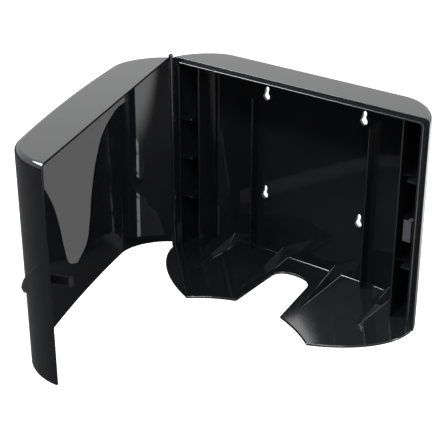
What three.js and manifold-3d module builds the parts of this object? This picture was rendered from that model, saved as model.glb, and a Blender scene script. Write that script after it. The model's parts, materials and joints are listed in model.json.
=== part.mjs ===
// Wall-mounted folded napkin dispenser, shown with its cover swung open.
//
// Millimetres, +Z up. The wall is the plane y = 0 and the room lies towards -Y.
// The origin is on the back face, in the middle of the four keyholes.
// Heights marked "level" are measured from the lower end of the parting line.

import * as THREE from 'three';
import { ConvexGeometry } from 'three/addons/geometries/ConvexGeometry.js';
import * as BufferGeometryUtils from 'three/addons/utils/BufferGeometryUtils.js';
import Module from 'manifold-3d';

const wasm = await Module();
wasm.setup();

// ---------------------------------------------------------------- sizes

// Overall shell
const bodyWidth = 330;
const bodyHeight = 230;
const housingDepth = 49;
const coverDepth = 54;
const coverCrown = 4;
const wall = 2.6;
const cornerReach = 54;
const cornerLean = 5;
const cornerPull = 24;
const topRound = 6;
const partingGap = 0.8;
const coverBottomLevel = -5.5;

// Parting rim of the housing: a flat return with a tongue that enters the cover
const rimTop = 6;
const rimSide = 10;
const rimThickness = 2.6;
const tongueWidth = 1.8;
const tongueHeight = 5;
const tongueClearance = 0.9;
const tongueHingeGap = 14;
const rimCorner = 5;

// Wall fixing
const keyholePitchX = 128;
const keyholePitchZ = 122;
const keyholeDrop = 39.5;
const keyholeHead = 8.4;
const keyholeSlot = 4.6;
const keyholeRise = 9;
const bossDiameter = 15;
const bossHeight = 1.2;

// Stack guides and stiffening ribs inside the housing
const guideSpacing = 261.8;
const guideThickness = 2.2;
const guideSetback = 6;
const backRibSpacing = 152;
const backRibThickness = 1.8;
const backRibDepth = 12;
const backRibTop = 41;
const webLevels = [57, 107.5, 156];
const webThickness = 2;
const webReach = 4;
const webSetback = 19;
const webStepAt = 9;
const webKeeperStep = 8.1;

// Tray under the stack
const trayThickness = 2.8;
const traySlope = 0.125;
const trayBackLevel = -3.4;
const trayReach = 80;
const lobeSpacing = 164;
const notchFront = 30;
const notchBack = 24;
const notchFrontReach = 55;
const notchDepth = 20;
const notchRound = 13;

// Tray runners: low tapered ridges that carry the folded edge of the stack
const runnerReach = 37;
const runners = [
  { inner: 27.5, ridge: 36.5, outer: 46.7, tip: 41, height: 11 },
  { inner: 99, ridge: 109, outer: 120, tip: 111, height: 7.6 },
];

// Cover hinge
const openAngle = 70.4;
const hingeOut = 1.2;
const hingePinDiameter = 2;
const hingePinLength = 30;
const knuckleRadius = 2.6;
const knuckleNeck = 6;
const knuckleHeight = 10;
const knuckleClearance = 0.5;
const pinClearance = 0.3;
const hingeLevels = [57, 156];
const beadDomeHeight = 2.6;

// Latch
const latchLevel = 100;
const keeperWidth = 9;
const keeperHeight = 24;
const keeperThickness = 1.6;
const keeperLeg = 1.4;
const keeperLegDepth = 9;
const keeperEdge = 141.5;
const keeperSetback = 5;
const leverHeight = 9;
const leverThickness = 2.8;
const leverNose = 6.3;
const leverRelease = 1.5;
const leverTip = 4;
const leverGap = 0.5;
const latchPinDiameter = 3;
const latchPinX = 145;
const latchPinDepth = 25;
const latchPinHead = 5;
const latchPinHeadHeight = 1.2;
const latchEyeRadius = 3.4;
const lugThickness = 3;
const lugGap = 0.5;
const springWire = 0.9;
const springTurns = 3;
const springPitch = 1.15;
const springLeg = 7;
const clipDiameter = 6.4;
const clipThickness = 0.8;
const fit = 0.35;

// Finger grip on the cover's free side: how deep, at what level and how proud each point is
const gripRidge = [
  { depth: 1.5, level: 135, proud: 0.1 },
  { depth: 9.4, level: 128, proud: 0.6 },
  { depth: 16, level: 121.5, proud: 0.9 },
  { depth: 26.5, level: 109.5, proud: 1 },
  { depth: 35, level: 101.5, proud: 1.2 },
  { depth: 41.5, level: 91, proud: 2.4 },
  { depth: 44.5, level: 80, proud: 5 },
];
const gripFoot = [
  { depth: 1.5, level: 100, proud: 0.1 },
  { depth: 9.7, level: 95, proud: 0.1 },
  { depth: 20, level: 89.7, proud: 0.2 },
  { depth: 33, level: 82, proud: 0.6 },
  { depth: 44.5, level: 73.5, proud: 2.6 },
];

// ------------------------------------------------------ places worked out

const halfWidth = bodyWidth / 2;
const topZ = keyholeDrop + keyholePitchZ / 2;
const baseZ = topZ - bodyHeight;
const rimY = -housingDepth;
const coverRimY = rimY - partingGap;
const backInnerY = -wall;
const guideX = guideSpacing / 2;
const latchPinY = coverRimY - latchPinDepth;
const springRoom = springTurns * springPitch + springWire + 2 * lugGap;
const lowerLugZ = baseZ + latchLevel - leverHeight / 2 - lugGap - lugThickness;
const upperLugZ = baseZ + latchLevel + leverHeight / 2 + springRoom;
const clipZ = lowerLugZ - fit - clipThickness;
const hingeX = -halfWidth - hingeOut;
const hingeY = rimY - partingGap / 2;
const outside = 40;

const level = (height) => baseZ + height;
const trayTopZ = (y) => level(trayBackLevel) + traySlope * (y - backInnerY);

// ---------------------------------------------------------------- finishes

const gloss = new THREE.MeshStandardMaterial({ color: 0x0b0b0c, roughness: 0.16, metalness: 0 });
const glossCover = new THREE.MeshStandardMaterial({ color: 0x0a0a0b, roughness: 0.14, metalness: 0 });
const steel = new THREE.MeshStandardMaterial({ color: 0xb4b6ba, roughness: 0.3, metalness: 1 });
const zinc = new THREE.MeshStandardMaterial({ color: 0x8f9196, roughness: 0.42, metalness: 1 });
const acetal = new THREE.MeshStandardMaterial({ color: 0x161617, roughness: 0.45, metalness: 0 });

// ---------------------------------------------------------------- solids

function solid(geometry) {
  const plain = geometry.clone();
  plain.deleteAttribute('normal');
  plain.deleteAttribute('uv');
  const merged = BufferGeometryUtils.mergeVertices(plain, 1e-4);
  const source = new wasm.Mesh({
    numProp: 3,
    vertProperties: new Float32Array(merged.attributes.position.array),
    triVerts: new Uint32Array(merged.index.array),
  });
  return new wasm.Manifold(source);
}

function piece(name, body, material) {
  const result = body.getMesh();
  const geometry = new THREE.BufferGeometry();
  geometry.setAttribute('position', new THREE.BufferAttribute(result.vertProperties, 3));
  geometry.setIndex(new THREE.BufferAttribute(result.triVerts, 1));
  geometry.computeVertexNormals();
  const mesh = new THREE.Mesh(geometry, material);
  mesh.name = name;
  return mesh;
}

function join(bodies) {
  return bodies.reduce((whole, body) => whole.add(body));
}

function box(x0, x1, y0, y1, z0, z1) {
  const geometry = new THREE.BoxGeometry(x1 - x0, y1 - y0, z1 - z0);
  geometry.translate((x0 + x1) / 2, (y0 + y1) / 2, (z0 + z1) / 2);
  return solid(geometry);
}

function post(x, y, radius, z0, z1, segments = 24) {
  const geometry = new THREE.CylinderGeometry(radius, radius, z1 - z0, segments);
  geometry.rotateX(Math.PI / 2);
  geometry.translate(x, y, (z0 + z1) / 2);
  return solid(geometry);
}

function dome(x, y, z, radius, height) {
  const geometry = new THREE.SphereGeometry(radius, 24, 12);
  geometry.scale(1, 1, height / radius);
  geometry.translate(x, y, z);
  return solid(geometry);
}

// The same solid, moved, sheared or mirrored by a matrix
function moved(body, matrix) {
  const mesh = body.getMesh();
  const corners = Array.from(mesh.triVerts);
  if (matrix.determinant() < 0) {
    corners.reverse();
  }
  const geometry = new THREE.BufferGeometry();
  geometry.setAttribute('position', new THREE.BufferAttribute(Float32Array.from(mesh.vertProperties), 3));
  geometry.setIndex(corners);
  geometry.applyMatrix4(matrix);
  return solid(geometry);
}

function mirrored(body) {
  return moved(body, new THREE.Matrix4().makeScale(-1, 1, 1));
}

// A plan outline pushed up between two heights
function prism(shape, z0, z1) {
  const geometry = new THREE.ExtrudeGeometry(shape, {
    depth: z1 - z0, bevelEnabled: false, curveSegments: 10,
  });
  geometry.translate(0, 0, z0);
  return solid(geometry);
}

// The same, with its upper edge rounded over inside the outline
function roundedPrism(shape, z0, z1, radius) {
  const geometry = new THREE.ExtrudeGeometry(shape, {
    depth: z1 - z0 - 2 * radius,
    bevelEnabled: true,
    bevelThickness: radius,
    bevelSize: radius,
    bevelOffset: -radius,
    bevelSegments: 5,
    curveSegments: 10,
  });
  geometry.translate(0, 0, z0 + radius);
  return solid(geometry);
}

// A front-view outline pushed back between two depths; its points are (x, z)
function plate(shape, y0, y1) {
  const geometry = new THREE.ExtrudeGeometry(shape, {
    depth: y1 - y0, bevelEnabled: false, curveSegments: 10,
  });
  geometry.rotateX(Math.PI / 2);
  geometry.translate(0, y1, 0);
  return solid(geometry);
}

// Tips a level slab to the slope of the tray
function tipped(body) {
  const slope = new THREE.Matrix4().makeShear(0, 0, 0, traySlope, 0, 0);
  const lift = new THREE.Matrix4().makeTranslation(0, 0, level(trayBackLevel) - traySlope * backInnerY);
  return moved(body, lift.multiply(slope));
}

// ---------------------------------------------------------------- outlines

// Half a D: side, soft corner, then a long front with a slight crown.
// "far" is where the front lies, "near" where the open side ends.
function shellOutline(near, far, crown, inset) {
  const out = Math.sign(far - near);
  const half = halfWidth - inset;
  const front = far - out * inset;
  const shoulder = front - out * crown;
  const reach = halfWidth - cornerReach;
  const shape = new THREE.Shape();
  shape.moveTo(-half, near);
  shape.lineTo(-half, near + out * outside);
  const side = near + out * outside;
  const depth = shoulder - side;
  shape.bezierCurveTo(
    -half + cornerLean, side + depth * 0.5, -reach - cornerPull, shoulder, -reach, shoulder,
  );
  shape.quadraticCurveTo(0, front + out * crown, reach, shoulder);
  shape.bezierCurveTo(reach + cornerPull, shoulder, half - cornerLean, side + depth * 0.5, half, side);
  shape.lineTo(half, near);
  shape.closePath();
  return shape;
}

function trayOutline() {
  const lobe = lobeSpacing / 2;
  const side = halfWidth - 0.6;
  const shape = new THREE.Shape();
  shape.moveTo(-side, rimY + wall);
  shape.bezierCurveTo(-side, rimY - 34, -126, rimY - 64, -lobe, rimY - trayReach);
  shape.quadraticCurveTo(-lobe + 22, rimY - 64, -notchFront, rimY - notchFrontReach);
  shape.lineTo(-notchBack, rimY + notchDepth - notchRound);
  shape.quadraticCurveTo(-notchBack + 3, rimY + notchDepth, 0, rimY + notchDepth);
  shape.quadraticCurveTo(notchBack - 3, rimY + notchDepth, notchBack, rimY + notchDepth - notchRound);
  shape.lineTo(notchFront, rimY - notchFrontReach);
  shape.quadraticCurveTo(lobe - 22, rimY - 64, lobe, rimY - trayReach);
  shape.bezierCurveTo(126, rimY - 64, side, rimY - 34, side, rimY + wall);
  shape.lineTo(side, backInnerY);
  shape.lineTo(-side, backInnerY);
  shape.closePath();
  return shape;
}

function keyholeOutline(x, z) {
  const head = keyholeHead / 2;
  const slot = keyholeSlot / 2;
  const start = Math.asin(slot / head);
  const shape = new THREE.Shape();
  shape.moveTo(x + slot, z + keyholeRise);
  shape.absarc(x, z + keyholeRise, slot, 0, Math.PI, false);
  shape.absarc(x, z, head, Math.PI / 2 + start, Math.PI * 2.5 - start, false);
  shape.closePath();
  return shape;
}

function keyholePlaces() {
  const places = [];
  for (const x of [-keyholePitchX / 2, keyholePitchX / 2]) {
    for (const z of [-keyholePitchZ / 2, keyholePitchZ / 2]) {
      places.push({ x, z });
    }
  }
  return places;
}

// ------------------------------------------------------------ back housing

function housingShell() {
  const low = level(-outside);
  const outer = roundedPrism(shellOutline(rimY - outside, 0, 0, 0), low, topZ, topRound);
  const inner = roundedPrism(shellOutline(rimY - outside, 0, 0, wall), low - 2 * wall, topZ - wall, topRound - wall);
  const front = box(-bodyWidth, bodyWidth, rimY - 3 * outside, rimY, low - outside, topZ + outside);
  return { outer: outer.subtract(front), inner };
}

function belowTray(offset) {
  return tipped(box(-bodyWidth, bodyWidth, -4 * housingDepth, housingDepth, -4 * outside, offset));
}

function trayPlate() {
  return tipped(prism(trayOutline(), -trayThickness, 0));
}

function runner(size) {
  const foot = (x, y) => new THREE.Vector3(x, y, trayTopZ(y) - trayThickness / 2);
  const frontY = rimY - runnerReach;
  const middleY = (rimY + backInnerY) / 2 - 8;
  const points = [
    foot(size.inner, backInnerY + wall / 2),
    foot(size.outer, backInnerY + wall / 2),
    foot(size.inner, middleY),
    foot(size.outer - 3, middleY),
    foot(size.tip - 1, frontY),
    foot(size.tip + 1, frontY),
    new THREE.Vector3(size.ridge, backInnerY + wall / 2, trayTopZ(backInnerY) + size.height),
    new THREE.Vector3(size.tip, frontY + 4, trayTopZ(frontY) + 0.4),
  ];
  return solid(new ConvexGeometry(points));
}

function guideWall() {
  return box(guideX, guideX + guideThickness, rimY + guideSetback, backInnerY + 1, level(-30), topZ - wall / 2);
}

function backRib() {
  const x = backRibSpacing / 2;
  return box(x, x + backRibThickness, backInnerY - backRibDepth, backInnerY + 1, level(-20), topZ - backRibTop);
}

// Web between guide and side wall; its front edge steps forward near the side wall
function web(height, stepped) {
  const start = guideX + guideThickness / 2;
  const step = start + webStepAt;
  const deep = rimY + webSetback;
  const near = stepped ? rimY + webReach : deep - webKeeperStep;
  const shape = new THREE.Shape();
  shape.moveTo(start, 0);
  shape.lineTo(start, deep);
  shape.lineTo(step - 4, deep);
  shape.quadraticCurveTo(step, deep, step, deep - 4);
  shape.lineTo(step, near + 4);
  shape.quadraticCurveTo(step, near, step + 4, near);
  shape.lineTo(halfWidth, near);
  shape.lineTo(halfWidth, 0);
  shape.closePath();
  return prism(shape, level(height) - webThickness / 2, level(height) + webThickness / 2);
}

// Flat return around the open front, and the tongue standing on it
function partingRim() {
  const arch = (side, top, y0, y1, low) => {
    const x = halfWidth - side - rimCorner;
    const z = topZ - top - rimCorner;
    const shape = new THREE.Shape();
    shape.moveTo(-halfWidth + side, level(low));
    shape.absarc(-x, z, rimCorner, Math.PI, Math.PI / 2, true);
    shape.absarc(x, z, rimCorner, Math.PI / 2, 0, true);
    shape.lineTo(halfWidth - side, level(low));
    shape.closePath();
    return plate(shape, y0, y1);
  };
  const back = rimY + rimThickness;
  const tip = rimY - tongueHeight;
  const tongueSide = wall + tongueClearance + 1;
  const tongueTop = wall + tongueClearance;
  const rim = arch(0, 0, rimY, back, -30).subtract(arch(rimSide, rimTop, rimY - 1, back + 1, -50));
  const tongue = arch(tongueSide, tongueTop, tip, rimY + 0.5, 2)
    .subtract(arch(tongueSide + tongueWidth, tongueTop + tongueWidth, tip - 1, rimY + 1, -2));
  const hingeSide = box(-bodyWidth, -halfWidth + tongueHingeGap, tip - 1, rimY, level(-50), topZ + 10);
  return { rim, tongue: tongue.subtract(hingeSide) };
}

// Round bead along the hinge side, which carries the hinge pins
function hingeBead() {
  const bead = post(hingeX, hingeY, knuckleRadius, level(-30), topZ);
  return bead.add(dome(hingeX, hingeY, topZ - 0.01, knuckleRadius, beadDomeHeight));
}

// Room for one of the cover's knuckles, and the bore for its pin
function hingeClearance(height) {
  const half = knuckleHeight / 2 + knuckleClearance;
  const pocket = post(
    hingeX, hingeY, knuckleRadius + knuckleClearance,
    level(height) - half, level(height) + half,
  );
  const bore = post(
    hingeX, hingeY, hingePinDiameter / 2 + pinClearance,
    level(height) - hingePinLength / 2 - 0.5, level(height) + hingePinLength / 2 + 0.5, 16,
  );
  return pocket.add(bore);
}

// Block behind the keeper, with the keeper's seat
function keeperBlock() {
  const seat = rimY + keeperSetback + keeperThickness + fit;
  const half = keeperHeight / 2 - keeperLeg - fit;
  return box(
    keeperEdge + 4, halfWidth - wall, seat, backInnerY,
    level(latchLevel) - half, level(latchLevel) + half,
  );
}

function backHousing() {
  const { outer, inner } = housingShell();
  const under = belowTray(-trayThickness);
  const shell = outer.subtract(inner).subtract(under);
  const fittings = [];
  for (const body of [guideWall(), backRib(), ...runners.map(runner)]) {
    fittings.push(body, mirrored(body));
  }
  for (const height of webLevels) {
    const besideKeeper = Math.abs(height - latchLevel) < keeperHeight / 2;
    fittings.push(mirrored(web(height, true)), web(height, !besideKeeper));
  }
  const { rim, tongue } = partingRim();
  fittings.push(rim, keeperBlock());
  const inside = join(fittings).intersect(outer.add(runnerSpace())).subtract(under);
  let housing = shell.add(inside).add(trimmedTray()).add(tongue).add(hingeBead().subtract(under));
  for (const { x, z } of keyholePlaces()) {
    housing = housing.add(keyholeBoss(x, z));
  }
  for (const { x, z } of keyholePlaces()) {
    housing = housing.subtract(plate(keyholeOutline(x, z), -3 * wall, wall));
  }
  for (const height of hingeLevels) {
    housing = housing.subtract(hingeClearance(height));
  }
  return piece('back_housing', housing, gloss);
}

// Room above the tray in which the runners may stand
function runnerSpace() {
  return box(-halfWidth, halfWidth, rimY - trayReach, rimY + 1, level(-40), level(20));
}

// The tray reaches under the cover but stays inside the housing's own walls
function trimmedTray() {
  const behind = box(-bodyWidth, bodyWidth, rimY, housingDepth, level(-80), level(40));
  const plateAll = trayPlate();
  const { outer } = housingShell();
  return plateAll.subtract(behind).add(plateAll.intersect(outer));
}

function keyholeBoss(x, z) {
  const geometry = new THREE.CylinderGeometry(bossDiameter / 2, bossDiameter / 2, bossHeight + 0.5, 28);
  geometry.translate(x, backInnerY - bossHeight / 2 + 0.25, z);
  return solid(geometry);
}

// ------------------------------------------------------------- front cover

// The cover is drawn closed and turned about the hinge afterwards
function coverShell() {
  const near = coverRimY + outside;
  const far = coverRimY - coverDepth;
  const low = level(coverBottomLevel - 2 * outside);
  const outer = roundedPrism(shellOutline(near, far, coverCrown, 0), low, topZ, topRound);
  const inner = roundedPrism(
    shellOutline(near, far, coverCrown, wall), low - 2 * wall, topZ - wall, topRound - wall,
  );
  const behind = box(-bodyWidth, bodyWidth, coverRimY, near + outside, low - outside, topZ + outside);
  const below = box(
    -bodyWidth, bodyWidth, far - outside, near + outside, low - outside, level(coverBottomLevel),
  );
  return { outer: outer.subtract(behind).subtract(below), inner };
}

// A point on the cover's free side at some depth, moved outwards by "proud"
function sidePoint(depth, height, proud) {
  const shoulder = coverDepth - coverCrown;
  const corner = new THREE.CubicBezierCurve(
    new THREE.Vector2(halfWidth, 0),
    new THREE.Vector2(halfWidth - cornerLean, shoulder * 0.5),
    new THREE.Vector2(halfWidth - cornerReach + cornerPull, shoulder),
    new THREE.Vector2(halfWidth - cornerReach, shoulder),
  );
  let near = 0;
  let far = 1;
  while (far - near > 1e-6) {
    const middle = (near + far) / 2;
    if (corner.getPoint(middle).y < depth) {
      near = middle;
    } else {
      far = middle;
    }
  }
  const place = corner.getPoint(near);
  const along = corner.getTangent(near);
  return new THREE.Vector3(
    place.x + along.y * proud, coverRimY - place.y + along.x * proud, level(height),
  );
}

// Finger grip: a wedge that runs down from the rim and stands proud at its nose
function grip() {
  const points = [];
  for (const { depth, level: height, proud } of [...gripRidge, ...gripFoot]) {
    points.push(sidePoint(depth, height, proud), sidePoint(depth, height, -wall * 1.2));
  }
  return solid(new ConvexGeometry(points));
}

function coverKnuckle(height) {
  const low = level(height) - knuckleHeight / 2;
  const high = level(height) + knuckleHeight / 2;
  const eye = post(hingeX, hingeY, knuckleRadius, low, high);
  const neck = box(
    hingeX - knuckleRadius / 2, -halfWidth + wall, coverRimY - knuckleNeck, hingeY, low, high,
  );
  const bore = post(hingeX, hingeY, hingePinDiameter / 2 + pinClearance, low - 1, high + 1, 16);
  return { added: eye.add(neck), removed: bore };
}

function latchLug(low) {
  const shape = new THREE.Shape();
  shape.moveTo(halfWidth - 2, latchPinY + 9);
  shape.lineTo(latchPinX, latchPinY + latchEyeRadius);
  shape.absarc(latchPinX, latchPinY, latchEyeRadius, Math.PI / 2, Math.PI * 1.5, false);
  shape.lineTo(halfWidth - 2, latchPinY - 9);
  shape.closePath();
  return prism(shape, low, low + lugThickness);
}

function frontCover() {
  const { outer, inner } = coverShell();
  let cover = outer.subtract(inner);
  const lugs = latchLug(lowerLugZ).add(latchLug(upperLugZ));
  cover = cover.add(lugs.intersect(outer));
  cover = cover.subtract(post(
    hingeX, hingeY, knuckleRadius + knuckleClearance, level(-outside), topZ + outside,
  ));
  for (const height of hingeLevels) {
    const knuckle = coverKnuckle(height);
    cover = cover.add(knuckle.added).subtract(knuckle.removed);
  }
  cover = cover.add(grip().subtract(inner));
  cover = cover.subtract(post(
    latchPinX, latchPinY, latchPinDiameter / 2 + pinClearance, clipZ, upperLugZ + lugThickness + 1, 16,
  ));
  return piece('front_cover', cover, glossCover);
}

// ------------------------------------------------------------- small pieces

function hingePin(name, height) {
  const half = hingePinLength / 2;
  const pin = post(hingeX, hingeY, hingePinDiameter / 2, level(height) - half, level(height) + half, 20);
  return piece(name, pin, steel);
}

function latchKeeper() {
  const y = rimY + keeperSetback;
  const half = keeperHeight / 2;
  const face = box(
    keeperEdge, keeperEdge + keeperWidth, y, y + keeperThickness,
    level(latchLevel) - half, level(latchLevel) + half,
  );
  const legs = [-half, half - keeperLeg].map((start) => box(
    keeperEdge + 4, keeperEdge + keeperWidth, y, y + keeperLegDepth,
    level(latchLevel) + start, level(latchLevel) + start + keeperLeg,
  ));
  return piece('latch_keeper', join([face, ...legs]), steel);
}

// Rocking lever: an eye on the pin, an arm beside the keeper and a hooked nose behind it
function latchLever() {
  const low = level(latchLevel) - leverHeight / 2;
  const high = level(latchLevel) + leverHeight / 2;
  const armEnd = keeperEdge - leverGap;
  const armStart = armEnd - leverThickness;
  const noseY = rimY + keeperSetback + keeperThickness + leverGap;
  const eye = post(latchPinX, latchPinY, latchEyeRadius, low, high);
  const arm = box(armStart, armEnd, latchPinY - 2, noseY + leverTip, low, high);
  const bridge = box(armStart, latchPinX, latchPinY - 2, latchPinY + 2, low, high);
  const shape = new THREE.Shape();
  shape.moveTo(armStart, noseY);
  shape.lineTo(armEnd, noseY);
  shape.lineTo(armStart + leverNose, noseY + leverRelease);
  shape.lineTo(armEnd, noseY + leverTip);
  shape.lineTo(armStart, noseY + leverTip);
  shape.closePath();
  const nose = prism(shape, low, high);
  const bore = post(latchPinX, latchPinY, latchPinDiameter / 2 + pinClearance, low - 1, high + 1, 16);
  return piece('latch_lever', eye.add(arm).add(bridge).add(nose).subtract(bore), acetal);
}

function latchPin() {
  const top = upperLugZ + lugThickness + fit;
  const pin = post(latchPinX, latchPinY, latchPinDiameter / 2, clipZ - 1, top + 0.5, 20);
  const head = post(latchPinX, latchPinY, latchPinHead / 2, top, top + latchPinHeadHeight, 20);
  return piece('latch_pin', pin.add(head), steel);
}

// Open ring that keeps the pin from lifting out
function latchClip() {
  const hole = latchPinDiameter / 2 + pinClearance;
  const gap = Math.PI / 5;
  const shape = new THREE.Shape();
  shape.absarc(latchPinX, latchPinY, clipDiameter / 2, gap, 2 * Math.PI - gap, false);
  shape.absarc(latchPinX, latchPinY, hole, 2 * Math.PI - gap, gap, true);
  shape.closePath();
  return piece('latch_clip', prism(shape, clipZ, clipZ + clipThickness), zinc);
}

// Torsion spring round the pin, between the lever's eye and the upper lug
class SpringPath extends THREE.Curve {
  constructor(radius, low) {
    super();
    this.radius = radius;
    this.low = low;
  }

  getPoint(t) {
    const angle = t * springTurns * 2 * Math.PI + Math.PI / 2;
    const x = latchPinX + this.radius * Math.cos(angle);
    const y = latchPinY + this.radius * Math.sin(angle);
    return new THREE.Vector3(x, y, this.low + t * springTurns * springPitch);
  }
}

function latchSpring() {
  const radius = latchPinDiameter / 2 + pinClearance + springWire / 2 + 0.2;
  const low = level(latchLevel) + leverHeight / 2 + lugGap + springWire / 2;
  const section = new THREE.Shape();
  section.absarc(0, 0, springWire / 2, 0, 2 * Math.PI, false);
  const coil = solid(new THREE.ExtrudeGeometry(section, {
    extrudePath: new SpringPath(radius, low), steps: springTurns * 18, curveSegments: 3,
  }));
  const high = low + springTurns * springPitch;
  const leg = (x, direction, z) => {
    const geometry = new THREE.CylinderGeometry(springWire / 2, springWire / 2, springLeg, 8);
    geometry.rotateZ(Math.PI / 2);
    geometry.translate(x + direction * springLeg / 2, latchPinY + radius, z);
    return solid(geometry);
  };
  return piece('latch_spring', join([coil, leg(latchPinX + 0.2, -1, low), leg(latchPinX - 0.2, 0.6, high)]), steel);
}

// ---------------------------------------------------------------- assembly

const dispenser = new THREE.Group();
dispenser.add(backHousing());
hingeLevels.forEach((height, index) => {
  dispenser.add(hingePin(index === 0 ? 'hinge_pin_lower' : 'hinge_pin_upper', height));
});
dispenser.add(latchKeeper());

// Everything on the cover swings about the hinge
const swing = new THREE.Group();
swing.position.set(hingeX, hingeY, 0);
swing.rotation.z = -THREE.MathUtils.degToRad(openAngle);
const closed = new THREE.Group();
closed.position.set(-hingeX, -hingeY, 0);
closed.add(frontCover(), latchLever(), latchPin(), latchSpring(), latchClip());
swing.add(closed);
dispenser.add(swing);

export default dispenser;
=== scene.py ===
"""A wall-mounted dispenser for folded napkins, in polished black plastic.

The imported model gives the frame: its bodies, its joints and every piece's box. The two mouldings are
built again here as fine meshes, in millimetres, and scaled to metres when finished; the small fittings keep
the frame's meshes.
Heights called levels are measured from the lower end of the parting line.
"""

from __future__ import annotations

import json
import logging
import math
from dataclasses import dataclass
from enum import Enum

import bmesh
import bpy
from mathutils import Matrix, Vector
from mathutils.geometry import interpolate_bezier

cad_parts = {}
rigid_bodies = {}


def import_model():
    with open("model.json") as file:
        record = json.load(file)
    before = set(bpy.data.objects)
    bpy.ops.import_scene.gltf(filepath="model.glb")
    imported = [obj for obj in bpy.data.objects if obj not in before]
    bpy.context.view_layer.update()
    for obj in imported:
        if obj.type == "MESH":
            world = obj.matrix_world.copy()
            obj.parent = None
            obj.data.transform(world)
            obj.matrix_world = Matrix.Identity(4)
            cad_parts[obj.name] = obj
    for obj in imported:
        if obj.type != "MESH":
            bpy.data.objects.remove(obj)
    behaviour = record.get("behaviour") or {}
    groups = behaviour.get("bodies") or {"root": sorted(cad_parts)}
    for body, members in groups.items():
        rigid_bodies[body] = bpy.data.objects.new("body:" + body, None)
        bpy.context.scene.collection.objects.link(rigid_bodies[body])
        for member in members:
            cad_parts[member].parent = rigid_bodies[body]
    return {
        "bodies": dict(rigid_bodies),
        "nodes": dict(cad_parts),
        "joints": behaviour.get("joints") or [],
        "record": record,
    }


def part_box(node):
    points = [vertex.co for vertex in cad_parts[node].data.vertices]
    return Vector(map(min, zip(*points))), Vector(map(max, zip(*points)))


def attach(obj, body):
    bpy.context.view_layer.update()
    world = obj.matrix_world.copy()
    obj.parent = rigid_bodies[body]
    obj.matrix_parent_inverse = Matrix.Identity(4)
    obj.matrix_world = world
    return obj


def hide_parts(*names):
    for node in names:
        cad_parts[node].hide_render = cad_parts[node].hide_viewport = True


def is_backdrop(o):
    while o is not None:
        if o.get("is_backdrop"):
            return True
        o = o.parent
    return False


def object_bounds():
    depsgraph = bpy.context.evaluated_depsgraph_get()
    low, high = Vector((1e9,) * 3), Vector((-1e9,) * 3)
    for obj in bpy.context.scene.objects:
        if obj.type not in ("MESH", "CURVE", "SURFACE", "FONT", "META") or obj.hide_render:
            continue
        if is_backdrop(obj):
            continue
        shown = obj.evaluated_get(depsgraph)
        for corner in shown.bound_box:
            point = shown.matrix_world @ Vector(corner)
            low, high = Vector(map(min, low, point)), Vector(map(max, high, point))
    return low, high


LOG = logging.getLogger("dispenser")
MM = 0.001
FAR = 400.0


class Cut(Enum):
    """What a boolean does with its second solid."""

    ADD = "UNION"
    TAKE = "DIFFERENCE"
    KEEP = "INTERSECT"


# ---------------------------------------------------------------- outlines and solids


class Outline:
    """A flat outline drawn point by point, in lines and curves."""

    def __init__(self, x: float, y: float) -> None:
        """Starts the outline at a point."""
        self.points: list[Vector] = [Vector((x, y, 0))]

    def line(self, x: float, y: float) -> Outline:
        """Draws a straight line to a point."""
        self.points.append(Vector((x, y, 0)))
        return self

    def curve(
        self, first: tuple[float, float], second: tuple[float, float], end: tuple[float, float],
        steps: int = 36,
    ) -> Outline:
        """Draws a cubic curve.

        Args:
            first: handle at the start.
            second: handle at the end.
            end: where the curve ends.
            steps: how many pieces the curve is drawn in.

        Returns:
            This outline.
        """
        knots = [self.points[-1], Vector((*first, 0)), Vector((*second, 0)), Vector((*end, 0))]
        self.points.extend(interpolate_bezier(*knots, steps + 1)[1:])
        return self

    def bend(self, handle: tuple[float, float], end: tuple[float, float], steps: int = 24) -> Outline:
        """Draws a curve with one handle.

        Args:
            handle: the point that the curve leans towards.
            end: where the curve ends.
            steps: how many pieces the curve is drawn in.

        Returns:
            This outline.
        """
        start, pull, stop = self.points[-1].xy, Vector(handle), Vector(end)
        first = start.lerp(pull, 2 / 3)
        second = stop.lerp(pull, 2 / 3)
        return self.curve(tuple(first), tuple(second), end, steps)

    def arc(self, x: float, y: float, radius: float, start: float, end: float, steps: int = 16) -> Outline:
        """Draws part of a circle.

        Args:
            x: the centre's first coordinate.
            y: the centre's second coordinate.
            radius: the circle's radius.
            start: first angle, in degrees.
            end: last angle, in degrees.
            steps: how many pieces the arc is drawn in.

        Returns:
            This outline.
        """
        for step in range(steps + 1):
            angle = math.radians(start + (end - start) * step / steps)
            self.line(x + radius * math.cos(angle), y + radius * math.sin(angle))
        return self


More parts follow.
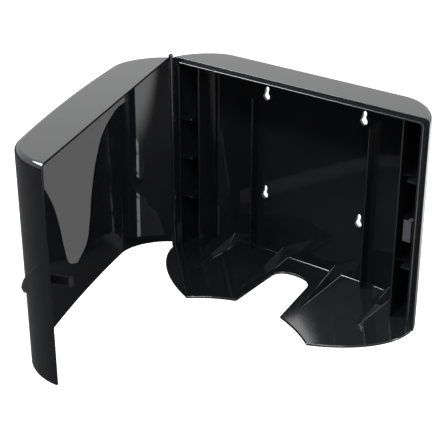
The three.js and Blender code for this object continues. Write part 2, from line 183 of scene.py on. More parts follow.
class Solid:
    """A closed mesh in the making, in millimetres."""

    def __init__(self, bm: bmesh.types.BMesh) -> None:
        """Takes over a mesh."""
        self.bm = bm

    @classmethod
    def prism(cls, outline: Outline, low: float, high: float) -> Solid:
        """Pushes an outline up.

        Args:
            outline: the outline, seen from above.
            low: height of the lower face.
            high: height of the upper face.

        Returns:
            The closed solid.
        """
        bm = bmesh.new()
        face = bm.faces.new([bm.verts.new((p.x, p.y, low)) for p in outline.points])
        grown = bmesh.ops.extrude_face_region(bm, geom=[face])["geom"]
        top = [item for item in grown if isinstance(item, bmesh.types.BMVert)]
        bmesh.ops.translate(bm, vec=(0, 0, high - low), verts=top)
        bmesh.ops.remove_doubles(bm, verts=bm.verts, dist=1e-4)
        bmesh.ops.recalc_face_normals(bm, faces=bm.faces)
        return cls(bm)

    @classmethod
    def plate(cls, outline: Outline, front: float, back: float) -> Solid:
        """Pushes an outline that is seen from the front, between two depths."""
        upright = Matrix(((1, 0, 0, 0), (0, 0, 1, 0), (0, 1, 0, 0), (0, 0, 0, 1)))
        return cls.prism(outline, front, back).move(upright)

    @classmethod
    def block(cls, x: tuple[float, float], y: tuple[float, float], z: tuple[float, float]) -> Solid:
        """Makes a box.

        Args:
            x: its span from left to right.
            y: its span from front to back.
            z: its span from bottom to top.

        Returns:
            The closed solid.
        """
        bm = bmesh.new()
        bmesh.ops.create_cube(bm, size=1)
        solid = cls(bm)
        middle = Vector((sum(x) / 2, sum(y) / 2, sum(z) / 2))
        size = Vector((x[1] - x[0], y[1] - y[0], z[1] - z[0]))
        return solid.move(Matrix.LocRotScale(middle, None, size))

    @classmethod
    def post(cls, x: float, y: float, radius: float, low: float, high: float, segments: int = 40) -> Solid:
        """Makes an upright round post.

        Args:
            x: the axis's first coordinate.
            y: the axis's second coordinate.
            radius: the post's radius.
            low: height of its foot.
            high: height of its head.
            segments: how many sides it has.

        Returns:
            The closed solid.
        """
        bm = bmesh.new()
        bmesh.ops.create_cone(
            bm, cap_ends=True, segments=segments, radius1=radius, radius2=radius, depth=high - low
        )
        return cls(bm).move(Matrix.Translation((x, y, (low + high) / 2)))

    @classmethod
    def hull(cls, points: list[Vector]) -> Solid:
        """Wraps points in the smallest convex solid.

        Args:
            points: the points, some of which may lie inside.

        Returns:
            The closed solid.
        """
        bm = bmesh.new()
        made = [bm.verts.new(p) for p in points]
        loose = bmesh.ops.convex_hull(bm, input=made)["geom_interior"]
        bmesh.ops.delete(bm, geom=[v for v in loose if isinstance(v, bmesh.types.BMVert)], context="VERTS")
        bmesh.ops.dissolve_limit(bm, angle_limit=math.radians(1), verts=bm.verts, edges=bm.edges)
        bmesh.ops.recalc_face_normals(bm, faces=bm.faces)
        return cls(bm)

    def move(self, matrix: Matrix) -> Solid:
        """Moves, turns, shears or mirrors the solid.

        Args:
            matrix: what every point is multiplied by.

        Returns:
            This solid.
        """
        bmesh.ops.transform(self.bm, matrix=matrix, verts=self.bm.verts)
        if matrix.determinant() < 0:
            bmesh.ops.reverse_faces(self.bm, faces=self.bm.faces)
        return self

    def mirrored(self) -> Solid:
        """A copy on the other side of the middle."""
        return Solid(self.bm.copy()).move(Matrix.Scale(-1, 4, (1, 0, 0)))

    def slice(self, point: tuple[float, float, float], away: tuple[float, float, float]) -> Solid:
        """Cuts off what lies on one side of a plane and closes the cut.

        Args:
            point: a point on the plane.
            away: direction of the part that goes.

        Returns:
            This solid.
        """
        geom = [*self.bm.verts, *self.bm.edges, *self.bm.faces]
        bmesh.ops.bisect_plane(
            self.bm, geom=geom, dist=1e-4, plane_co=point, plane_no=away, clear_outer=True
        )
        open_edges = [edge for edge in self.bm.edges if edge.is_boundary]
        bmesh.ops.holes_fill(self.bm, edges=open_edges, sides=0)
        bmesh.ops.recalc_face_normals(self.bm, faces=self.bm.faces)
        return self

    def soften(
        self, width: float, segments: int = 3, sharper: float = 35, hollow: bool | None = None
    ) -> Solid:
        """Rounds the sharp edges.

        Args:
            width: how far the rounding reaches on each side.
            segments: how many faces it is made of.
            sharper: only edges sharper than this many degrees are rounded.
            hollow: True for inside corners only, False for outside ones, None for both.

        Returns:
            This solid.
        """
        limit = math.radians(sharper)
        edges = [
            edge for edge in self.bm.edges
            if edge.is_manifold and edge.calc_face_angle(0) > limit
            and (hollow is None or edge.is_convex != hollow)
        ]
        bmesh.ops.bevel(
            self.bm, geom=edges, offset=width, offset_type="OFFSET", segments=segments,
            profile=0.5, affect="EDGES", material=-1, clamp_overlap=False,
        )
        return self

    def round_top(self, radius: float, segments: int = 8) -> Solid:
        """Rounds the edge of the upper face.

        Args:
            radius: how far the rounding reaches on each side.
            segments: how many faces it is made of.

        Returns:
            This solid.
        """
        top = max(v.co.z for v in self.bm.verts) - 1e-3
        edges = [edge for edge in self.bm.edges if all(v.co.z > top for v in edge.verts)]
        bmesh.ops.bevel(
            self.bm, geom=edges, offset=radius, offset_type="OFFSET", segments=segments,
            profile=0.5, affect="EDGES", material=-1, clamp_overlap=False,
        )
        return self

    def thing(self, name: str) -> bpy.types.Object:
        """Turns the solid into an object, still in millimetres.

        Args:
            name: the object's name.

        Returns:
            The object, linked to the scene.
        """
        mesh = bpy.data.meshes.new(name)
        self.bm.to_mesh(mesh)
        self.bm.free()
        made = bpy.data.objects.new(name, mesh)
        bpy.context.scene.collection.objects.link(made)
        return made

    def meet(self, other: Solid, how: Cut) -> Solid:
        """Joins another solid to this one, cuts it out, or keeps what they share.

        Args:
            other: the other solid, which is used up.
            how: what to do.

        Returns:
            This solid, with its new mesh.
        """
        base = self.thing("base")
        tool = other.thing("tool")
        modifier = base.modifiers.new("meet", "BOOLEAN")
        modifier.operation = how.value
        modifier.solver = "MANIFOLD"
        modifier.object = tool
        depsgraph = bpy.context.evaluated_depsgraph_get()
        self.bm = bmesh.new()
        self.bm.from_mesh(base.evaluated_get(depsgraph).to_mesh())
        for used in (base, tool):
            mesh = used.data
            bpy.data.objects.remove(used)
            bpy.data.meshes.remove(mesh)
        return self

    def add(self, *others: Solid) -> Solid:
        """Joins other solids to this one.

        Args:
            others: the other solids, which are used up.

        Returns:
            This solid.
        """
        for other in others:
            self.meet(other, Cut.ADD)
        return self

    def take(self, *others: Solid) -> Solid:
        """Cuts other solids out of this one.

        Args:
            others: the other solids, which are used up.

        Returns:
            This solid.
        """
        for other in others:
            self.meet(other, Cut.TAKE)
        return self


class Workshop:
    """Turns finished solids into pieces of the object."""

    @staticmethod
    def crease(mesh: bpy.types.Mesh, angle: float = 4.5, width: float = 0.002) -> None:
        """Keeps shallow edges between two broad faces crisp, while narrow roundings stay smooth.

        Args:
            mesh: the mesh, in metres.
            angle: the least angle, in degrees.
            width: how wide a face must be to count as broad.
        """
        bm = bmesh.new()
        bm.from_mesh(mesh)
        broad = {
            face.index for face in bm.faces
            if face.calc_area() > width * max(edge.calc_length() for edge in face.edges)
        }
        for edge in bm.edges:
            flats = all(face.index in broad for face in edge.link_faces)
            if flats and edge.calc_face_angle(0) > math.radians(angle):
                edge.smooth = False
        bm.to_mesh(mesh)
        bm.free()

    @staticmethod
    def finish(
        solid: Solid, name: str, node: str, body: str, slot: str, material: bpy.types.Material,
        smooth: float = 32,
    ) -> bpy.types.Object:
        """Makes a piece out of a solid and lets it stand for a node of the frame.

        Args:
            solid: the shape, in millimetres.
            name: the piece's name.
            node: the node that it stands for.
            body: the body that it rides on.
            slot: not used.
            material: its finish.
            smooth: edges sharper than this many degrees stay sharp.

        Returns:
            The piece.
        """
        stray = [e for e in solid.bm.edges if not e.is_manifold]
        bmesh.ops.dissolve_degenerate(solid.bm, dist=1e-4, edges=solid.bm.edges)
        bmesh.ops.scale(solid.bm, vec=(MM, MM, MM), verts=solid.bm.verts)
        made = solid.thing(name)
        made.data.materials.clear()
        made.data.materials.append(material)
        made.data.shade_smooth()
        made.data.set_sharp_from_angle(angle=math.radians(smooth))
        Workshop.crease(made.data)
        weighted = made.modifiers.new("even_normals", "WEIGHTED_NORMAL")
        weighted.keep_sharp = True
        weighted.weight = 80
        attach(made, body)
        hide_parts(node)
        LOG.info("%s: %d faces, %d open edges", name, len(made.data.polygons), len(stray))
        return made


# ---------------------------------------------------------------- finishes


class Number:
    """A shader socket that holds a number, with arithmetic."""

    def __init__(self, graph: Graph, socket: bpy.types.NodeSocket) -> None:
        """Wraps a socket of a graph."""
        self.graph = graph
        self.socket = socket

    def _math(self, operation: str, first: Number | float, second: Number | float) -> Number:
        """Adds a Math node."""
        return self.graph.math(operation, first, second)

    def __add__(self, other: Number | float) -> Number:
        """Adds."""
        return self._math("ADD", self, other)

    __radd__ = __add__

    def __sub__(self, other: Number | float) -> Number:
        """Subtracts."""
        return self._math("SUBTRACT", self, other)

    def __rsub__(self, other: float) -> Number:
        """Subtracts this from a number."""
        return self._math("SUBTRACT", other, self)

    def __mul__(self, other: Number | float) -> Number:
        """Multiplies."""
        return self._math("MULTIPLY", self, other)

    __rmul__ = __mul__

    def above(self, low: float, high: float) -> Number:
        """Rises smoothly from 0 to 1.

        Args:
            low: where it starts to rise.
            high: where it reaches 1.

        Returns:
            The risen number.
        """
        return self.graph.number(
            "ShaderNodeMapRange", {"interpolation_type": "SMOOTHSTEP"},
            {"Value": self, "From Min": low, "From Max": high}, "Result",
        )


class Graph:
    """The nodes of one material, or of the surroundings."""

    def __init__(self, owner: bpy.types.Material | bpy.types.World) -> None:
        """Empties the nodes of a material or a world.

        Args:
            owner: what the nodes belong to.
        """
        owner.use_nodes = True
        self.owner = owner
        self.tree = owner.node_tree
        self.tree.nodes.clear()

    def node(self, kind: str, settings: dict[str, object], inputs: dict[str, object]) -> bpy.types.Node:
        """Adds a node.

        Args:
            kind: the node's type.
            settings: properties that are set first.
            inputs: values or links for its sockets, by name or number.

        Returns:
            The node.
        """
        made = self.tree.nodes.new(kind)
        for key, value in settings.items():
            setattr(made, key, value)
        for key, value in inputs.items():
            socket = made.inputs[key]
            if isinstance(value, Number):
                self.tree.links.new(value.socket, socket)
            elif isinstance(value, bpy.types.NodeSocket):
                self.tree.links.new(value, socket)
            else:
                socket.default_value = value
        return made

    def number(
        self, kind: str, settings: dict[str, object], inputs: dict[str, object], output: str
    ) -> Number:
        """Adds a node and gives one of its outputs as a number."""
        return Number(self, self.node(kind, settings, inputs).outputs[output])

    def math(self, operation: str, first: Number | float, second: Number | float) -> Number:
        """Adds a Math node."""
        return self.number("ShaderNodeMath", {"operation": operation}, {0: first, 1: second}, "Value")

    def place(self, stretch: tuple[float, float, float] = (1, 1, 1)) -> bpy.types.NodeSocket:
        """Object coordinates, stretched along the axes."""
        source = self.node("ShaderNodeTexCoord", {}, {}).outputs["Object"]
        return self.node("ShaderNodeMapping", {}, {"Vector": source, "Scale": stretch}).outputs["Vector"]

    def noise(self, scale: float, detail: float, stretch: tuple[float, float, float] = (1, 1, 1)) -> Number:
        """Soft noise of a given pitch."""
        inputs = {"Vector": self.place(stretch), "Scale": scale, "Detail": detail, "Roughness": 0.5}
        return self.number("ShaderNodeTexNoise", {}, inputs, "Fac")

    def tint(
        self, share: Number, low: tuple[float, float, float], high: tuple[float, float, float]
    ) -> bpy.types.NodeSocket:
        """Mixes two colours."""
        mix = self.node("ShaderNodeMix", {"data_type": "RGBA"}, {0: share, 6: (*low, 1), 7: (*high, 1)})
        return mix.outputs[2]

    def bump(
        self, height: Number, distance: float, strength: float, under: bpy.types.NodeSocket | None = None
    ) -> bpy.types.NodeSocket:
        """Turns a height into a normal.

        Args:
            height: the height, from 0 to 1.
            distance: how far 1 stands out, in metres.
            strength: how much of it shows.
            under: another normal that it lies over.

        Returns:
            The normal.
        """
        inputs: dict[str, object] = {"Height": height, "Distance": distance, "Strength": strength}
        if under is not None:
            inputs["Normal"] = under
        return self.node("ShaderNodeBump", {}, inputs).outputs["Normal"]

    def surface(self, inputs: dict[str, object]) -> bpy.types.Material:
        """Closes the material with its main shader.

        Args:
            inputs: values or links for the shader's sockets.

        Returns:
            The material.
        """
        shader = self.node("ShaderNodeBsdfPrincipled", {}, inputs).outputs["BSDF"]
        self.node("ShaderNodeOutputMaterial", {}, {"Surface": shader})
        return self.owner


@dataclass(frozen=True)
class SightWindow:
    """Where the smoked plastic has no black backing, so that the stack shows through."""

    hinge: tuple[float, float]
    along: tuple[float, float]
    middle: float
    base: float
    height: float
    half_widths: tuple[tuple[float, float], ...] = (
        (0.155, 0.0), (0.17, 0.03), (0.21, 0.08), (0.3, 0.11), (0.45, 0.14),
        (0.6, 0.19), (0.7, 0.25), (0.76, 0.34), (0.82, 0.44), (1.0, 0.5),
    )
    depth: float = 0.044
    clearness: float = 0.25

    def mask(self, graph: Graph) -> Number:
        """1 inside the window, 0 outside, with a crisp edge.

        Args:
            graph: the material's nodes.

        Returns:
            The mask.
        """
        spot = graph.node("ShaderNodeTexCoord", {}, {}).outputs["Object"]
        split = graph.node("ShaderNodeSeparateXYZ", {}, {"Vector": spot})
        x, y, z = (Number(graph, split.outputs[axis]) for axis in "XYZ")
        run = (x - self.hinge[0]) * self.along[0] + (y - self.hinge[1]) * self.along[1]
        level = (z - self.base) * (1 / self.height)
        curve = graph.node("ShaderNodeFloatCurve", {}, {"Value": level})
        points = curve.mapping.curves[0].points
        for place, value in self.half_widths[1:-1]:
            points.new(place, value)
        points[0].location = self.half_widths[0]
        points[-1].location = self.half_widths[-1]
        curve.mapping.update()
        half = Number(graph, curve.outputs["Value"]) * (2 * self.middle)
        offset = graph.math("ABSOLUTE", run - self.middle, 0)
        deep = (x - self.hinge[0]) * self.along[1] - (y - self.hinge[1]) * self.along[0]
        front = deep.above(self.depth - 0.002, self.depth) * (1 - level.above(0.965, 0.975))
        return (half - offset).above(-0.0002, 0.0004) * front


@dataclass(frozen=True)
class PolishedPlastic:
    """Black plastic from a polished mould: glossy, a little wavy, with fine scuffs and dust."""

    name: str
    tone: tuple[float, float, float] = (0.0045, 0.0048, 0.0057)
    worn: tuple[float, float, float] = (0.01, 0.01, 0.011)
    gloss: float = 0.035
    haze: float = 0.045
    waviness: float = 0.00032
    dust: float = 1.0
    sight: SightWindow | None = None

    def build(self) -> bpy.types.Material:
        """Makes the material.

        Returns:
            The material, ready for a mesh.
        """
        graph = Graph(bpy.data.materials.new(self.name))
        smear = graph.noise(11, 3, (1, 1, 0.45)).above(0.42, 0.72)
        cloud = graph.noise(46, 4).above(0.45, 0.8)
        rubs = graph.noise(260, 2, (1, 1, 0.035)).above(0.66, 0.74)
        swirls = graph.noise(210, 2, (0.05, 1, 1)).above(0.68, 0.75)
        scuffs = (rubs + swirls) * graph.noise(7, 2).above(0.45, 0.68)
        specks = graph.noise(1500, 1).above(0.74, 0.79) * self.dust
        roughness = smear * self.haze + cloud * (self.haze * 0.45) + scuffs * 0.16 + specks * 0.3
        flow = graph.bump(graph.noise(9, 1), self.waviness, 0.5)
        peel = graph.bump(graph.noise(330, 1), 0.000012, 0.35, flow)
        normal = graph.bump(scuffs, 0.00001, 0.3, peel)
        clear = {} if self.sight is None else {"Alpha": 1 - self.sight.mask(graph) * self.sight.clearness}
        return graph.surface(clear | {
            "Base Color": graph.tint(scuffs * 0.35 + specks * 0.6 + cloud * 0.2, self.tone, self.worn),
            "Roughness": roughness + self.gloss,
            "IOR": 1.5,
            "Normal": normal,
        })


@dataclass(frozen=True)
class SatinPlastic:
    """Self-lubricating black plastic with a fine satin grain."""

    name: str
    tone: tuple[float, float, float] = (0.006, 0.006, 0.007)
    worn: tuple[float, float, float] = (0.013, 0.013, 0.014)

    def build(self) -> bpy.types.Material:
        """Makes the material.

        Returns:
            The material, ready for a mesh.
        """
        graph = Graph(bpy.data.materials.new(self.name))
        grain = graph.noise(2600, 2)
        rubbed = graph.noise(140, 3).above(0.5, 0.75)
        return graph.surface({
            "Base Color": graph.tint(rubbed * 0.5, self.tone, self.worn),
            "Roughness": grain * 0.1 + rubbed * -0.08 + 0.24,
            "IOR": 1.48,
            "Normal": graph.bump(grain, 0.00002, 0.5),
        })


@dataclass(frozen=True)
class PlatedSteel:
    """Bright steel with drawn lines along its length and a few dull patches."""

    name: str
    bright: tuple[float, float, float] = (0.56, 0.57, 0.59)
    dull: tuple[float, float, float] = (0.3, 0.3, 0.32)
    roughness: float = 0.26
    lines: tuple[float, float, float] = (1, 1, 0.04)

    def build(self) -> bpy.types.Material:
        """Makes the material.

        Returns:
            The material, ready for a mesh.
        """
        graph = Graph(bpy.data.materials.new(self.name))
        drawn = graph.noise(3200, 3, self.lines)
        patches = graph.noise(190, 4).above(0.42, 0.7)
        return graph.surface({
            "Base Color": graph.tint(patches * 0.7 + drawn * 0.2, self.bright, self.dull),
            "Metallic": 1.0,
            "Roughness": drawn * 0.14 + patches * 0.12 + self.roughness,
            "Normal": graph.bump(drawn, 0.00002, 0.35),
        })


# ---------------------------------------------------------------- sub-assemblies


@dataclass
class Shell:
    """Sizes that the two mouldings share, and the D-shaped outline that both are drawn from."""

    hinge: Vector
    open_angle: float
    half_width: float = 165.0
    top: float = 100.5
    base: float = -129.5
    rim: float = -49.0
    gap: float = 0.8
    wall: float = 2.6
    corner_reach: float = 54.0
    corner_lean: float = 5.0
    corner_pull: float = 24.0
    top_round: float = 6.0
    cover_depth: float = 54.0
    cover_crown: float = 4.0
    cover_bottom: float = -5.5
    open_side: float = 40.0
    knuckle_radius: float = 2.6
    knuckle_clearance: float = 0.5
    hinge_levels: tuple[float, float] = (57.0, 156.0)
    latch_level: float = 100.0

    @classmethod
    def from_frame(cls, frame: dict) -> Shell:
        """Reads the places that the frame fixes.


        Returns:
            The shared sizes.
        """
        joint = next(j for j in frame["record"]["behaviour"]["joints"] if j["name"] == "cover_hinge")
        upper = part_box("front_cover")[1].z / MM
        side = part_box("back_housing")[1].x / MM
        opened = math.radians(-joint["range_deg"][0])
        return cls(Vector(joint["pos_m"]) / MM, opened, half_width=side, top=upper)

    def level(self, height: float) -> float:
        """Height above the lower end of the parting line, as a place."""
        return self.base + height

    @property
    def cover_rim(self) -> float:
        """Where the shut cover's rim lies."""
        return self.rim - self.gap

    def swing(self) -> Matrix:
        """Matrix that turns what is drawn on the shut cover to where the open cover is."""
        there = Matrix.Translation((self.hinge.x, self.hinge.y, 0))
        return there @ Matrix.Rotation(-self.open_angle, 4, "Z") @ there.inverted()

    def corner(self, side: float, near: float, shoulder: float, half: float) -> list[tuple[float, float]]:
        """Draws a soft corner curve, from the side wall to the long face.

        Args:
            side: -1 on the left, 1 on the right.
            near: where the curve leaves the side wall.
            shoulder: where it meets the long face.
            half: distance of the side wall from the middle.

        Returns:
            The curve's two handles and its end.
        """
        reach = self.half_width - self.corner_reach
        middle = near + (shoulder - near) * 0.5
        return [
            (side * (half - self.corner_lean), middle),
            (side * (reach + self.corner_pull), shoulder),
            (side * reach, shoulder),
        ]

    def outline(self, near: float, far: float, crown: float, inset: float) -> Outline:
        """Half a D, carried on beyond its open side.

        Args:
            near: where the open side is.
            far: where the long face lies.
            crown: how much the long face bows out.
            inset: how far the outline is drawn inside the outer one.

        Returns:
            The closed outline.
        """
        out = math.copysign(1, far - near)
        half = self.half_width - inset
        front = far - out * inset
        shoulder = front - out * crown
        reach = self.half_width - self.corner_reach
        beyond = near - out * self.open_side
        first, second, end = self.corner(-1, near, shoulder, half)
        shape = Outline(-half, beyond).line(-half, near).curve(first, second, end)
        shape.bend((0, front + out * crown), (reach, shoulder), 40)
        first, second, _ = self.corner(1, near, shoulder, half)
        return shape.curve(second, first, (half, near)).line(half, beyond)

    def drum(self, near: float, far: float, crown: float, inset: float, low: float) -> Solid:
        """The outline pushed up and rounded over at the top."""
        solid = Solid.prism(self.outline(near, far, crown, inset), low, self.top - inset)
        return solid.round_top(self.top_round - inset)


@dataclass
class Tray:
    """The sloping tray under the stack, its notch and the ridges that it carries."""

    shell: Shell
    thickness: float = 2.8
    slope: float = 0.125
    back_level: float = -3.4
    reach: float = 80.0
    lobe: float = 82.0
    notch_front: float = 30.0
    notch_back: float = 24.0
    notch_front_reach: float = 55.0
    notch_depth: float = 20.0
    notch_round: float = 13.0
    side_gap: float = 0.6
    ridge_reach: float = 37.0
    edge_round: float = 1.1
    crest_round: float = 0.7
    foot_round: float = 0.6
    crease_round: float = 1.8
    crease_reach: float = 131.5
    ridges: tuple[tuple[float, float, float, float, float], ...] = (
        (27.5, 36.5, 46.7, 41.0, 11.0),
        (99.0, 109.0, 120.0, 111.0, 7.6),
    )

    def tip(self) -> Matrix:
        """Tips a level slab to the tray's slope.

        Returns:
            The shear that does it.
        """
        shear = Matrix.Identity(4)
        shear[2][1] = self.slope
        shear[2][3] = self.height(0)
        return shear

    def height(self, y: float) -> float:
        """Height of the tray's upper face at some depth."""
        return self.shell.level(self.back_level) + self.slope * (y + self.shell.wall)

    def outline(self) -> Outline:
        """Draws the front edge with its lobes and notch, and the back edge within the housing's wall.

        Returns:
            The closed outline.
        """
        rim = self.shell.rim
        side = self.shell.half_width - self.side_gap
        front = rim - self.notch_front_reach
        inner = rim + self.notch_depth
        shoulder = -self.shell.wall / 2
        reach = self.shell.half_width - self.shell.corner_reach
        first, second, end = self.shell.corner(1, rim, shoulder, side)
        shape = Outline(-side, rim)
        shape.curve((-side, rim - 34), (-126, rim - 64), (-self.lobe, rim - self.reach), 48)
        shape.bend((-self.lobe + 22, rim - 64), (-self.notch_front, front), 16)
        shape.line(-self.notch_back, inner - self.notch_round)
        shape.bend((-self.notch_back + 3, inner), (0, inner), 16)
        shape.bend((self.notch_back - 3, inner), (self.notch_back, inner - self.notch_round), 16)
        shape.line(self.notch_front, front)
        shape.bend((self.lobe - 22, rim - 64), (self.lobe, rim - self.reach), 16)
        shape.curve((126, rim - 64), (side, rim - 34), (side, rim), 48)
        shape.curve(first, second, end, 24)
        shape.line(-reach, shoulder)
        return shape.curve((-second[0], second[1]), (-first[0], first[1]), (-side + 0.01, rim + 0.01), 24)

    def ridge(self, size: tuple[float, float, float, float, float]) -> Solid:
        """One low tapered ridge, from the back wall to its tip.

        Args:
            size: where its foot's inner side, its crest, its foot's outer side and its tip lie, and how
                high its crest stands at the back.

        Returns:
            The solid.
        """
        inner, crest, outer, tip, height = size
        back = -self.shell.wall / 2
        wall = -self.shell.wall
        front = self.shell.rim - self.ridge_reach
        middle = (self.shell.rim + wall) / 2 - 8

        def foot(x: float, y: float) -> Vector:
            """A point inside the slab."""
            return Vector((x, y, self.height(y) - self.thickness / 2))

        points = [
            foot(inner, back), foot(outer, back), foot(inner, middle), foot(outer - 3, middle),
            foot(tip - 1, front), foot(tip + 1, front),
            Vector((crest, back, self.height(wall) + height)),
            Vector((tip, front + 4, self.height(front) + 0.4)),
        ]
        return Solid.hull(points).soften(self.crest_round, 4, 8)

    def build(self) -> Solid:
        """The tray with its four ridges.

        Returns:
            The solid.
        """
        slab = Solid.prism(self.outline(), -self.thickness, 0)
        slab.soften(self.edge_round, 5, 60).move(self.tip())
        for size in self.ridges:
            ridge = self.ridge(size)
            slab.add(ridge.mirrored(), ridge)
        return slab.soften(self.foot_round, 4, 9, hollow=True)

    def cove(self) -> Solid:
        """Rounded crease between the tray and the back panel.

        Returns:
            The solid.
        """
        wall, radius = -self.shell.wall, self.crease_round
        high = self.height(wall)
        shape = Outline(wall / 2, high - 1).line(wall / 2, high + radius)
        shape.arc(wall - radius, high + radius, radius, 0, -90, 8).line(wall - radius, high - 1)
        half = self.crease_reach
        lay = Matrix(((0, 0, 1, 0), (1, 0, 0, 0), (0, 1, 0, 0), (0, 0, 0, 1)))
        return Solid.prism(shape, -half, half).move(lay)


@dataclass
class Housing:
    """The back moulding: shell, tray, guides, ribs, webs, parting rim, hinge bead and keyholes."""

    shell: Shell
    guide_x: float = 130.9
    guide_thickness: float = 2.2
    guide_setback: float = 6.0
    rib_x: float = 76.0
    rib_thickness: float = 1.8
    rib_depth: float = 12.0
    rib_top: float = 41.0
    web_levels: tuple[float, ...] = (57.0, 107.5, 156.0)
    web_thickness: float = 2.0
    web_reach: float = 4.0
    web_setback: float = 19.0
    web_step: float = 9.0
    keeper_step: float = 8.1
    rim_top: float = 6.0
    rim_side: float = 10.0
    rim_thickness: float = 2.6
    rim_corner: float = 5.0
    tongue_width: float = 1.8
    tongue_height: float = 5.0
    tongue_gap: float = 0.9
    tongue_hinge_gap: float = 14.0
    keyhole_x: float = 64.0
    keyhole_z: float = 61.0
    keyhole_head: float = 4.2
    keyhole_slot: float = 2.3
    keyhole_rise: float = 9.0
    boss_radius: float = 7.5
    boss_height: float = 1.2
    gate_level: float = 118.5
    dome_height: float = 2.6
    block_side: float = 145.5
    block_setback: float = 6.95
    block_height: float = 20.5
    mark_radius: float = 3.4
    mark_depth: float = 0.18
    marks: tuple[tuple[float, float], ...] = ((102, 22), (102, 118), (102, 200), (52, 24))
    gate_radius: float = 4.2
    gate_bore: float = 2.9
    gate_height: float = 0.35
    knuckle_room: float = 11.0
    pin_bore: float = 1.3
    pin_room: float = 31.0
    keeper_beside: float = 12.0

    def under(self, solid: Solid, tray: Tray) -> Solid:
        """Cuts off what reaches below the tray.

        Args:
            solid: what is cut.
            tray: the tray.

        Returns:
            The cut solid.
        """
        low = tray.height(0) - tray.thickness
        return solid.slice((0, 0, low), (0, tray.slope, -1))

    def walls(self, tray: Tray) -> Solid:
        """Back panel, soft sides and top, open in front and below.

        Args:
            tray: the tray that the walls end at.

        Returns:
            The solid.
        """
        shell = self.shell
        low = shell.level(-60)
        outer = shell.drum(shell.rim, 0, 0, 0, low)
        outer.slice((0, shell.rim, 0), (0, -1, 0))
        self.under(outer, tray)
        outer.take(shell.drum(shell.rim, 0, 0, shell.wall, low - 2 * shell.wall))
        return outer.soften(0.45, 3, 50)

    def guide(self) -> Solid:
        """Side guide that the stack slides along.

        Returns:
            The solid.
        """
        span = (self.guide_x, self.guide_x + self.guide_thickness)
        depth = (self.shell.rim + self.guide_setback, -self.shell.wall / 2)
        height = (self.shell.level(-30), self.shell.top - self.shell.wall / 2)
        return Solid.block(span, depth, height).soften(0.6, 3).meet(self.core(), Cut.KEEP)

    def rib(self) -> Solid:
        """Stiffening rib on the back panel.

        Returns:
            The solid.
        """
        back = -self.shell.wall
        span = (self.rib_x, self.rib_x + self.rib_thickness)
        height = (self.shell.level(-20), self.shell.top - self.rib_top)
        return Solid.block(span, (back - self.rib_depth, back + 1), height).soften(0.5, 3)

    def web(self, height: float, stepped: bool) -> Solid:
        """Web between guide and side wall, its front edge stepped forward near the side wall.

        Args:
            height: its level.
            stepped: False for the web that the keeper stands in front of.

        Returns:
            The solid.
        """
        shell = self.shell
        start = self.guide_x + self.guide_thickness / 2
        step = start + self.web_step
        deep = shell.rim + self.web_setback
        near = shell.rim + self.web_reach if stepped else deep - self.keeper_step
        side = shell.half_width - shell.wall / 2
        shape = Outline(start, -1).line(start, deep).line(step - 4, deep)
        shape.bend((step, deep), (step, deep - 4), 8).line(step, near + 4)
        shape.bend((step, near), (step + 4, near), 8).line(side, near).line(side, -1)
        half = self.web_thickness / 2
        low = shell.level(height) - half
        web = Solid.prism(shape, low, low + self.web_thickness).soften(0.4, 2)
        return web.meet(self.core(), Cut.KEEP)

    def core(self) -> Solid:
        """The housing's room out to the middle of its walls."""
        shell = self.shell
        return shell.drum(shell.rim, 0, 0, shell.wall / 2, shell.level(-60))

    def arch(self, side: float, top: float, front: float, back: float, low: float) -> Solid:
        """A plate with the outline of the open front.

        Args:
            side: distance in from the sides.
            top: distance down from the top.
            front: where its front face is.
            back: where its back face is.
            low: level of its lower end.

        Returns:
            The solid.
        """
        shell = self.shell
        x = shell.half_width - side - self.rim_corner
        z = shell.top - top - self.rim_corner
        shape = Outline(-shell.half_width + side, shell.level(low))
        shape.arc(-x, z, self.rim_corner, 180, 90, 8).arc(x, z, self.rim_corner, 90, 0, 8)
        shape.line(shell.half_width - side, shell.level(low))
        return Solid.plate(shape, front, back)

    def rim(self, tray: Tray) -> Solid:
        """Flat return round the open front, a little behind the shell's own edge.

        Args:
            tray: the tray that the return ends at.

        Returns:
            The solid.
        """
        face = self.shell.rim + 0.3
        back = self.shell.rim + self.rim_thickness
        rim = self.arch(0.6, 0.6, face, back, -30)
        rim.take(self.arch(self.rim_side, self.rim_top, face - 1, back + 1, -50))
        return self.under(rim, tray).soften(0.5, 3, 50)

    def tongue(self) -> Solid:
        """Band that stands on the return and enters the cover.

        Returns:
            The solid.
        """
        shell = self.shell
        tip = shell.rim - self.tongue_height
        side = shell.wall + self.tongue_gap + 1
        top = shell.wall + self.tongue_gap
        width = self.tongue_width
        band = self.arch(side, top, tip, shell.rim + 1, 2)
        band.take(self.arch(side + width, top + width, tip - 1, shell.rim + 2, -2))
        near_hinge = -shell.half_width + self.tongue_hinge_gap
        band.take(Solid.block((-FAR, near_hinge), (tip - 2, shell.rim + 3), (-FAR, FAR)))
        return band.soften(0.85, 5, 50)

    def bead(self, tray: Tray) -> Solid:
        """Round bead that holds the hinge pins, closed by a low dome.

        Args:
            tray: the tray that the bead ends at.

        Returns:
            The solid.
        """
        shell = self.shell
        bead = Solid.post(shell.hinge.x, shell.hinge.y, shell.knuckle_radius, shell.level(-40), shell.top)
        bm = bmesh.new()
        bmesh.ops.create_uvsphere(bm, u_segments=40, v_segments=20, radius=shell.knuckle_radius)
        place = Vector((shell.hinge.x, shell.hinge.y, shell.top - 0.05))
        stretch = Vector((1, 1, self.dome_height / shell.knuckle_radius))
        bead.add(Solid(bm).move(Matrix.LocRotScale(place, None, stretch)))
        return self.under(bead, tray)

